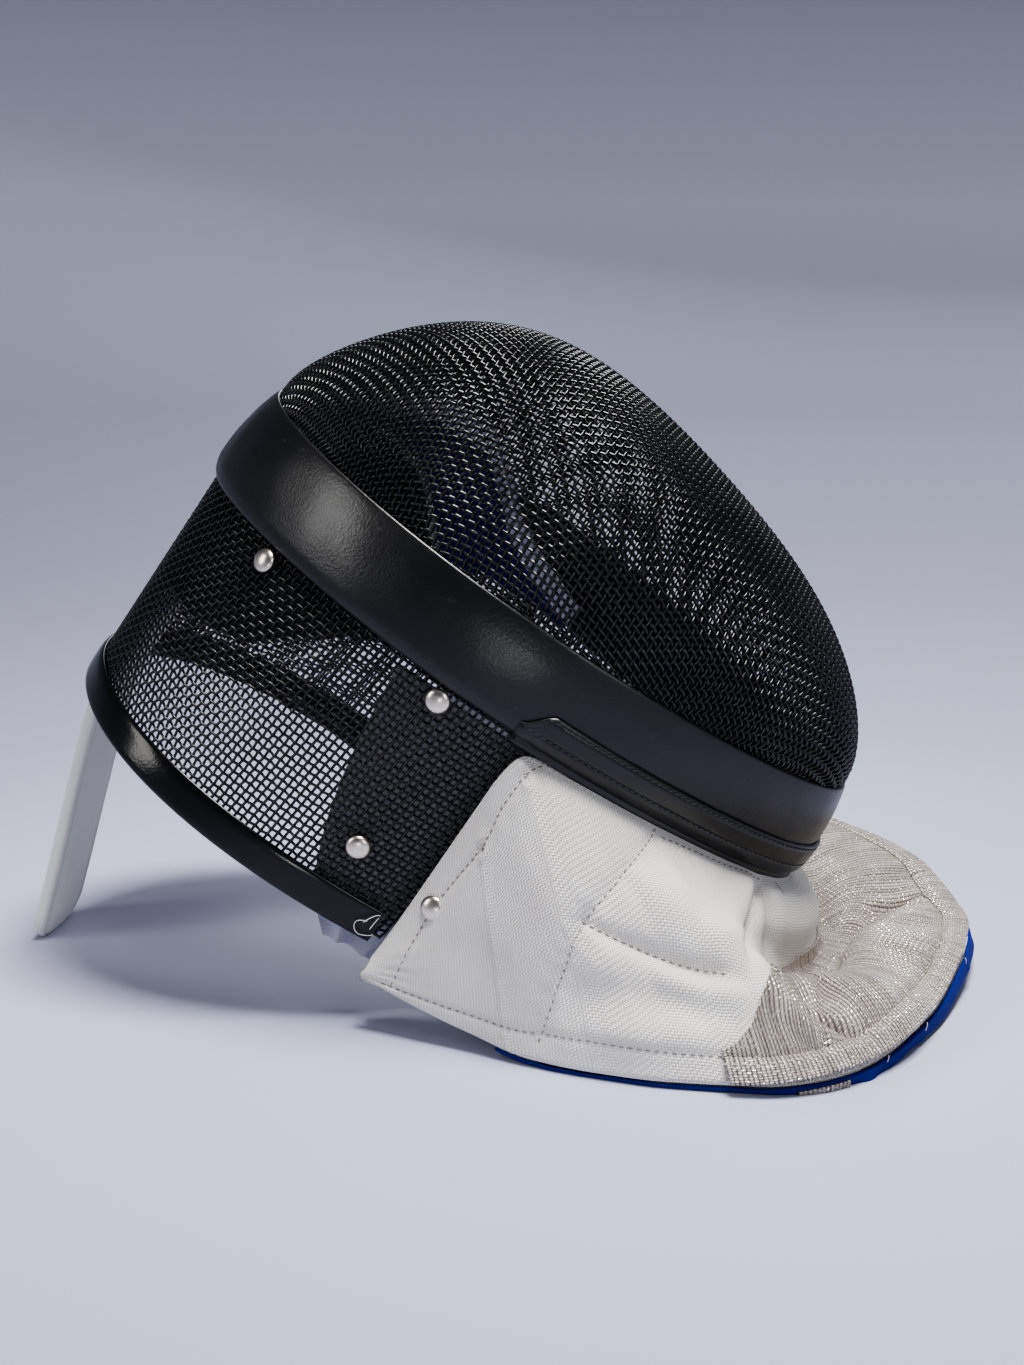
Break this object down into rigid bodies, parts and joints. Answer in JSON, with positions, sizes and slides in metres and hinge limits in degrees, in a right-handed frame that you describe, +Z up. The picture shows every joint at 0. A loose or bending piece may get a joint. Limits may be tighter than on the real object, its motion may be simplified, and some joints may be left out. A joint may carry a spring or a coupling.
{
  "type": "fencing mask",
  "caption": "Domed wire fencing mask with black bands, sprung tongue and a padded white bib with a silvery conductive front, lying on its back.",
  "frame": {"origin": "middle of the object's box, on the floor it lies on", "axes": "+Z up from the floor; +X from the crown towards the chin, so the face looks up and towards +X; +Y towards the wearer's left"},
  "size_m": [0.4294, 0.266, 0.2842],
  "materials": {
    "mesh_wire": "semi-gloss black",
    "band": "satin black leatherette",
    "trim": "gloss black",
    "tongue": "cream leatherette",
    "lining": "royal blue padded cloth",
    "bib_cloth": "white woven cloth",
    "silver_cloth": "silvery conductive cloth",
    "edge": "royal blue cloth",
    "nickel": "polished nickel"
  },
  "bodies": {
    "root": {"front_mesh": "mesh_wire", "rear_mesh": "mesh_wire", "main_band": "band", "bib_strip": "band", "rear_trim": "trim", "tongue": "tongue", "brow_lining": "lining", "side_lining_left": "lining", "side_lining_right": "lining", "bib": "bib_cloth", "bib_front": "silver_cloth", "hem": "silver_cloth", "hem_tab": "silver_cloth", "blue_edge": "edge", "rivet_temple_left": "nickel", "rivet_temple_right": "nickel", "rivet_cheek_left": "nickel", "rivet_cheek_right": "nickel", "rivet_ear_left": "nickel", "rivet_ear_right": "nickel", "rivet_wing_left": "nickel", "rivet_wing_right": "nickel"}
  },
  "joints": []
}
